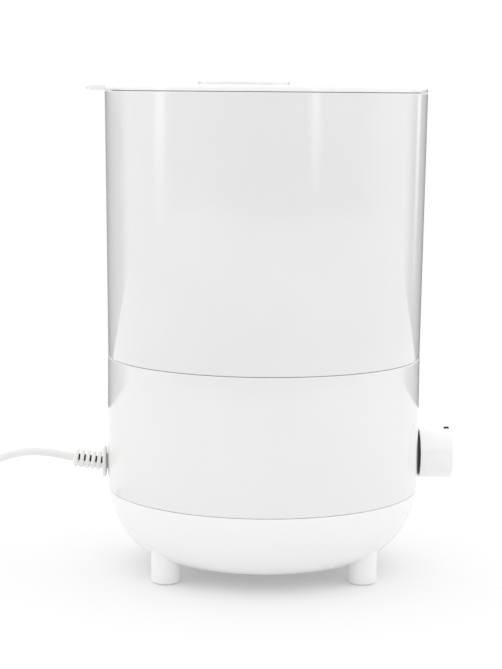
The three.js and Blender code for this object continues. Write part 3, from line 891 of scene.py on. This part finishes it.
# ---- strain relief: five ribs on a keel that fills their lower half, slots above it, with a dark core in them as painted shade ----
reliefSpec = {
    "axis": 64 * mm,
    "wall": 97.3 * mm,
    "tilt": 0.12,
    "flange": 9.5 * mm,
    "flangeSlope": 0.6 * mm,
    "flangeLip": 1.2 * mm,
    "flangeRound": 0.5 * mm,
    "lipRound": 0.4 * mm,
    "plate": 2.0 * mm,
    "neck": 4.6 * mm,
    "catch": 6.6 * mm,
    "catchStart": 9 * mm,
    "catchEnd": 6.9 * mm,
    "catchRound": 0.3 * mm,
    "ribs": 5,
    "pitch": 3.45 * mm,
    "rib": 2.3 * mm,
    "first": 1.4 * mm,
    "radius": 5.7 * mm,
    "taper": 0.08 * mm,
    "edge": 0.35 * mm,
    "bevelIn": 0.3 * mm,
    "bevelUp": 0.6 * mm,
    "fine": 0.2 * mm,
    "core": 2.6 * mm,
    "coreShort": 1 * mm,
    "keel": 4.5 * mm,
    "keelTop": -0.7 * mm,
    "keelEdge": 0.25 * mm,
    "keelShort": 0.5 * mm,
    "keelSteps": 32,
    "root": -1 * mm,
}


def makeRelief(spec):
    back = Matrix.Translation((0, 0, spec["axis"])) @ Matrix.Rotation(math.radians(-90), 4, "Y")
    face = spec["wall"]
    plate = face - spec["plate"]
    bm = turn([
        (0, face - spec["catchStart"], 0), (spec["catch"], face - spec["catchStart"], spec["catchRound"]),
        (spec["catch"], face - spec["catchEnd"], 0), (spec["neck"], face - spec["catchEnd"], 0),
        (spec["neck"], plate, 0), (spec["flange"] - spec["flangeSlope"], plate, spec["fine"]),
        (spec["flange"], face - spec["flangeLip"], spec["lipRound"]),
        (spec["flange"], face, spec["flangeRound"]), (0, face, 0)], steps=96)
    finishPiece("reliefFlange", aim(bm, back), "cord_white", "base", ["strain_relief"])
    boot = back @ Matrix.Translation((0, 0, face)) @ Matrix.Rotation(spec["tilt"], 4, "Y")
    root = spec["root"]
    tip = spec["first"] + (spec["ribs"] - 1) * spec["pitch"] + spec["rib"]
    end = tip - spec["coreShort"]
    # The core is painted shade: a dark piece under the ribs so the slots between them look shadowed; the
    # cord inside a real relief is white.
    core = turn([(0, root, 0), (spec["core"], root, 0), (spec["core"], end, 0), (0, end, 0)], steps=48)
    finishPiece("reliefShadeCore", aim(core, boot), "black_plastic", "base")
    start = math.acos(spec["keelTop"] / spec["keel"])
    swing = 2 * (math.pi - start)
    arc = [start + swing * i / spec["keelSteps"] for i in range(spec["keelSteps"] + 1)]
    keel = prism([(spec["keel"] * math.cos(t), spec["keel"] * math.sin(t)) for t in arc],
                 root, tip - spec["keelShort"])
    rounded(keel, spec["keelEdge"], 3, 60)
    finishPiece("reliefKeel", aim(keel, boot), "cord_white", "base", sharp=40)
    for i in range(spec["ribs"]):
        foot = spec["first"] + i * spec["pitch"]
        radius = spec["radius"] - i * spec["taper"]
        rib = turn([(0, foot, 0), (radius - spec["bevelIn"], foot, spec["edge"]),
                    (radius, foot + spec["bevelUp"], spec["fine"]),
                    (radius, foot + spec["rib"], spec["edge"]),
                    (0, foot + spec["rib"], 0)], steps=64)
        finishPiece(f"reliefRib{i + 1}", aim(rib, boot), "cord_white", "base")


makeRelief(reliefSpec)
print("knob and strain relief made")

# ---- stage: a white floor, a light room and a few cards for the gloss to show ----
stageSpec = {
    "floorFront": -3.0,
    "floorBack": 0.57,
    "floorSide": 3.0,
    "floorColour": grey(0.74),
    "floorFibre": grey(0.7),
    "floorGlow": 0.17,
    "ceiling": grey(1.28),
    "front": grey(0.48),
    "side": grey(1.05),
    "rear": grey(0.03),
    "frontEnd": 0.3,
    "sideStart": 0.48,
    "rearBand": (0.72, 0.8, 0.982, 0.992),
    "rearHeight": (0.12, 0.02),
    "ceilingRise": (0.25, 0.5),
    "cardColour": (1, 0.99, 0.97, 1),
    "cardFade": (0.0, 0.4),
    "cards": [
        {"azimuth": -78, "distance": 1.2, "width": 0.26, "low": 0.1, "high": 0.8, "strength": 3.2},
        {"azimuth": 31.5, "distance": 1.2, "width": 0.17, "low": 0.16, "high": 0.8, "strength": 3.0},
        {"azimuth": 131, "distance": 1.0, "width": 0.16, "low": 0.0, "high": 0.8, "strength": 1.5},
    ],
}


def stagePiece(name, bm, material):
    mesh = bpy.data.meshes.new(name)
    bm.to_mesh(mesh)
    bm.free()
    mesh.materials.append(material)
    piece = bpy.data.objects.new(name, mesh)
    bpy.context.scene.collection.objects.link(piece)
    return piece


def makeFloor(spec):
    bm = bmesh.new()
    bmesh.ops.create_grid(bm, x_segments=1, y_segments=1, size=1)
    long = (spec["floorBack"] - spec["floorFront"]) / 2
    aim(bm, Matrix.Translation((0, (spec["floorBack"] + spec["floorFront"]) / 2, 0))
        @ Matrix.Diagonal((spec["floorSide"], long, 1, 1)))
    material, wire = blankMaterial("floorPaper")
    place = wire.node("ShaderNodeTexCoord", output="Object")
    fibre = noise(wire, place, 900.0, 4.0)
    tint = blend(wire, fibre * 0.15, spec["floorColour"], spec["floorFibre"])
    shader = wire.node("ShaderNodeBsdfPrincipled", None, {
        "Base Color": tint, "Roughness": 0.9, "Specular IOR Level": 0.0,
        "Emission Color": grey(1), "Emission Strength": spec["floorGlow"]})
    closeMaterial(wire, shader)
    stagePiece("studioFloor", bm, material)


def makeCards(spec):
    for number, card in enumerate(spec["cards"]):
        turned = math.radians(card["azimuth"])
        half = card["width"] / 2
        bm = bmesh.new()
        corners = [(-half, card["low"]), (half, card["low"]), (half, card["high"]), (-half, card["high"])]
        bm.faces.new([bm.verts.new((x, -card["distance"], z)) for x, z in corners])
        aim(bm, Matrix.Rotation(turned, 4, "Z"))
        material, wire = blankMaterial(f"card{number}")
        place = wire.node("ShaderNodeTexCoord", output="Generated")
        along = wire.node("ShaderNodeSeparateXYZ", None, {"Vector": place}, 0)
        up = wire.node("ShaderNodeSeparateXYZ", None, {"Vector": place}, 2)
        soft = along * (1 - along) * 4 * spread(wire, up, *spec["cardFade"])  # fades at sides and foot
        glow = wire.node("ShaderNodeEmission", None, {
            "Color": spec["cardColour"], "Strength": card["strength"]})
        clear = wire.node("ShaderNodeBsdfTransparent")
        closeMaterial(wire, wire.node("ShaderNodeMixShader", None, {"Fac": soft, 1: clear, 2: glow}))
        piece = stagePiece(f"lightCard{number}", bm, material)
        piece.visible_camera = False
        piece.visible_diffuse = False


def makeWorld(spec):
    world = bpy.data.worlds.new("studioRoom")
    bpy.context.scene.world = world
    world.use_nodes = True
    world.node_tree.nodes.clear()
    wire = Wire(world.node_tree)
    way = wire.node("ShaderNodeTexCoord", output="Generated")
    y = wire.node("ShaderNodeSeparateXYZ", None, {"Vector": way}, 1)
    z = wire.node("ShaderNodeSeparateXYZ", None, {"Vector": way}, 2)
    across = y * 0.5 + 0.5
    walls = wire.node("ShaderNodeValToRGB", {"stops": [
        (spec["frontEnd"], spec["front"]), (spec["sideStart"], spec["side"])]}, {"Fac": across})
    room = blend(wire, spread(wire, z, *spec["ceilingRise"]), walls, spec["ceiling"])
    black, white = grey(0), grey(1)
    band = list(zip(spec["rearBand"], (black, white, white, black)))
    shade = wire.node("ShaderNodeValToRGB", {"stops": band}, {"Fac": across})
    low = spread(wire, z, *spec["rearHeight"])
    room = blend(wire, shade * low, room, spec["rear"])  # dark corners low behind, for the edges to show
    seen = wire.node("ShaderNodeLightPath", output="Is Camera Ray")
    dim = wire.node("ShaderNodeBackground", None, {"Color": room})
    plain = wire.node("ShaderNodeBackground", None, {"Color": white})
    both = wire.node("ShaderNodeMixShader", None, {"Fac": seen, 1: dim, 2: plain})
    wire.node("ShaderNodeOutputWorld", None, {"Surface": both})


makeFloor(stageSpec)
makeCards(stageSpec)
makeWorld(stageSpec)
bpy.context.scene.view_settings.view_transform = "Standard"
print("stage set")
